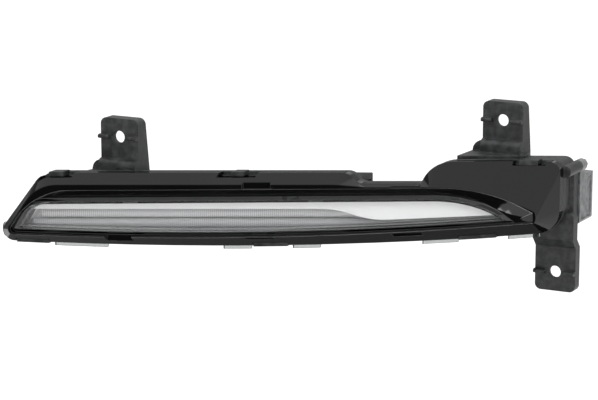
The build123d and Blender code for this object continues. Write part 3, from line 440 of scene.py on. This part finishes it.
def prism_guide(name, start, z):
    """Rod along the lamp with teeth across its rear side up to the first bend."""
    path, cut = guide_path(start, z)
    last = len(path) - 1
    verts = []
    for k, point in enumerate(path):
        verts += guide_section(path[max(k - 1, 0)], point, path[min(k + 1, last)], cut[k])
    faces = [list(range(GUIDE_SIDES))[::-1]]
    for row in range(0, last * GUIDE_SIDES, GUIDE_SIDES):
        for step in range(GUIDE_SIDES):
            after = (step + 1) % GUIDE_SIDES
            faces.append([row + step, row + after, row + GUIDE_SIDES + after, row + GUIDE_SIDES + step])
    faces.append([last * GUIDE_SIDES + step for step in range(GUIDE_SIDES)])
    mesh = bpy.data.meshes.new(name + "_prisms")
    mesh.from_pydata([tuple(corner) for corner in verts], [], faces)
    for index, polygon in enumerate(mesh.polygons):
        angle = 2 * math.pi * ((index - 1) % GUIDE_SIDES + 0.5) / GUIDE_SIDES
        polygon.use_smooth = abs(angle - math.pi) > TOOTH_SECTOR and 0 < index < len(faces) - 1
    mesh.materials.append(materials["clear_guide"])
    rod = bpy.data.objects.new(name + "_prisms", mesh)
    bpy.context.collection.objects.link(rod)
    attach(rod, "root")
    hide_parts(name)


for guide_name, (guide_start, guide_z) in GUIDES.items():
    prism_guide(guide_name, guide_start, guide_z)


# Stage: floor, cards and strips for the gloss, softbox, world


def plane(name, corner, across, upward, material):
    """Flat card from one corner and its two sides."""
    corners = [corner, corner + across, corner + across + upward, corner + upward]
    mesh = bpy.data.meshes.new(name)
    mesh.from_pydata([tuple(point) for point in corners], [], [(0, 1, 2, 3)])
    mesh.materials.append(material)
    card = bpy.data.objects.new(name, mesh)
    bpy.context.collection.objects.link(card)
    return card


def gloss_only(card):
    """Card that only reflections see."""
    card.visible_camera = False
    card.visible_diffuse = False
    card.visible_shadow = False
    card.visible_transmission = False


def floor_white(name):
    """White paint with a glow that does not light matte surfaces."""
    material = surface(name, (0.93, 0.93, 0.93), (0.95, 0.95, 0.95), 3, (0.8, 0.9))
    nodes = material.node_tree.nodes
    links = material.node_tree.links
    shader = nodes["Principled BSDF"]
    shader.inputs["Emission Color"].default_value = (1, 1, 1, 1)
    links.new(by_ray(nodes, links, FLOOR_GLOW, 0.0), shader.inputs["Emission Strength"])
    return material


def dull_grey(name, low, high):
    """Card paint between two grey levels, without any shine."""
    return surface(name, (low,) * 3, (high,) * 3, CARD_MOTTLE, CARD_ROUGH, Specular_IOR_Level=0.0)


floor_paint = floor_white("floor_paint")
card_black = dull_grey("card_black", 0.004, 0.006)
card_grey = dull_grey("card_grey", 0.21, 0.23)
card_pale = dull_grey("card_pale", 0.5, 0.52)

floor_corner = Vector((LENS.x, LENS.y, cad_box[0][2] - FLOOR_DROP))
floor_side = Vector((FLOOR_SIZE, 0, 0))
floor_depth = REARWARD * FLOOR_SIZE
plane("floor", floor_corner - (floor_side + floor_depth) / 2, floor_side, floor_depth, floor_paint)
card_side = ALONG * (CARD_RIGHT - CARD_LEFT)
card_start = floor_corner + UP * CARD_LIFT + ALONG * CARD_LEFT
cards = {
    "back_card": (BACK_CARD_FROM, OUTWARD * (LOW_CARD_FROM - BACK_CARD_FROM), card_grey),
    "low_card": (LOW_CARD_FROM, OUTWARD * (LOW_CARD_TO - LOW_CARD_FROM), card_black),
    "front_card": (FRONT_CARD_FROM, OUTWARD * (FRONT_CARD_TO - FRONT_CARD_FROM), card_black),
    "far_card": (FRONT_CARD_TO, UP * FAR_CARD_HEIGHT, card_black),
}
for card_name, (reach, card_depth, card_paint) in cards.items():
    gloss_only(plane(card_name, card_start + OUTWARD * reach, card_side, card_depth, card_paint))

# The strips light nothing but the bezel
strip_receivers = bpy.data.collections.new("strip_receivers")
strip_receivers.objects.link(frame["nodes"]["front_bezel"])
for strip_name, (strip_left, strip_right, reach, glow) in STRIPS.items():
    strip_light = surface(
        strip_name, (0.8, 0.8, 0.8), (0.82, 0.82, 0.82), CARD_MOTTLE, CARD_ROUGH,
        Emission_Color=(1, 1, 1, 1), Emission_Strength=glow,
    )
    strip_corner = floor_corner + UP * CARD_LIFT + ALONG * strip_left + OUTWARD * reach
    strip_side = ALONG * (strip_right - strip_left)
    strip = plane(strip_name, strip_corner, strip_side, OUTWARD * (FRONT_CARD_FROM - reach), strip_light)
    gloss_only(strip)
    strip.light_linking.receiver_collection = strip_receivers

# Upright cards to the left, to the right, where the card also shades matte surfaces, and behind
left_card = floor_corner + ALONG * LEFT_CARD_AT + OUTWARD * LEFT_CARD_FROM
gloss_only(plane("left_card", left_card, OUTWARD * LEFT_CARD_DEPTH, UP * LEFT_CARD_HEIGHT, card_grey))
right_card = floor_corner + ALONG * RIGHT_CARD_AT + OUTWARD * RIGHT_CARD_FROM
right_side = OUTWARD * RIGHT_CARD_DEPTH
right_flag = plane("right_card", right_card, right_side, UP * RIGHT_CARD_HEIGHT, card_pale)
gloss_only(right_flag)
right_flag.visible_diffuse = True
rear_side = ALONG * REAR_CARD_WIDTH
rear_card = floor_corner + OUTWARD * REAR_CARD_AT - rear_side / 2
gloss_only(plane("rear_card", rear_card, rear_side, UP * REAR_CARD_HEIGHT, card_grey))


def softbox(name, direction, distance, width, height, power):
    """Area light aimed at the lamp datum, not seen in reflections."""
    data = bpy.data.lights.new(name, "AREA")
    data.shape = "RECTANGLE"
    data.size = width
    data.size_y = height
    data.energy = power
    light = bpy.data.objects.new(name, data)
    light.location = LENS + direction.normalized() * distance
    light.rotation_euler = (-direction).to_track_quat("-Z", "Y").to_euler()
    light.visible_glossy = False
    light.visible_camera = False
    bpy.context.collection.objects.link(light)


softbox_way = UP + OUTWARD * SOFTBOX_LEAN
softbox("top_softbox", softbox_way, SOFTBOX_DISTANCE, SOFTBOX_WIDTH, SOFTBOX_DEPTH, SOFTBOX_WATTS)

world = bpy.data.worlds.new("studio")
bpy.context.scene.world = world
world.use_nodes = True
world_nodes = world.node_tree.nodes
world_links = world.node_tree.links
background = world_nodes["Background"]
background.inputs["Color"].default_value = (1, 1, 1, 1)
world_links.new(by_ray(world_nodes, world_links, WORLD_SEEN, WORLD_LIGHT), background.inputs["Strength"])

# Camera at the photograph's angle, aimed at the lamp datum
camera_data = bpy.data.cameras.new("camera")
camera_data.lens = FOCAL_MM
camera_data.sensor_width = SENSOR_MM
camera = bpy.data.objects.new("camera", camera_data)
view = OUTWARD * math.cos(CAMERA_ELEVATION) + UP * math.sin(CAMERA_ELEVATION)
camera.location = LENS + view * CAMERA_DISTANCE
camera.rotation_euler = (-view).to_track_quat("-Z", "Y").to_euler()
bpy.context.collection.objects.link(camera)
bpy.context.scene.camera = camera
bpy.context.scene.view_settings.view_transform = "Standard"
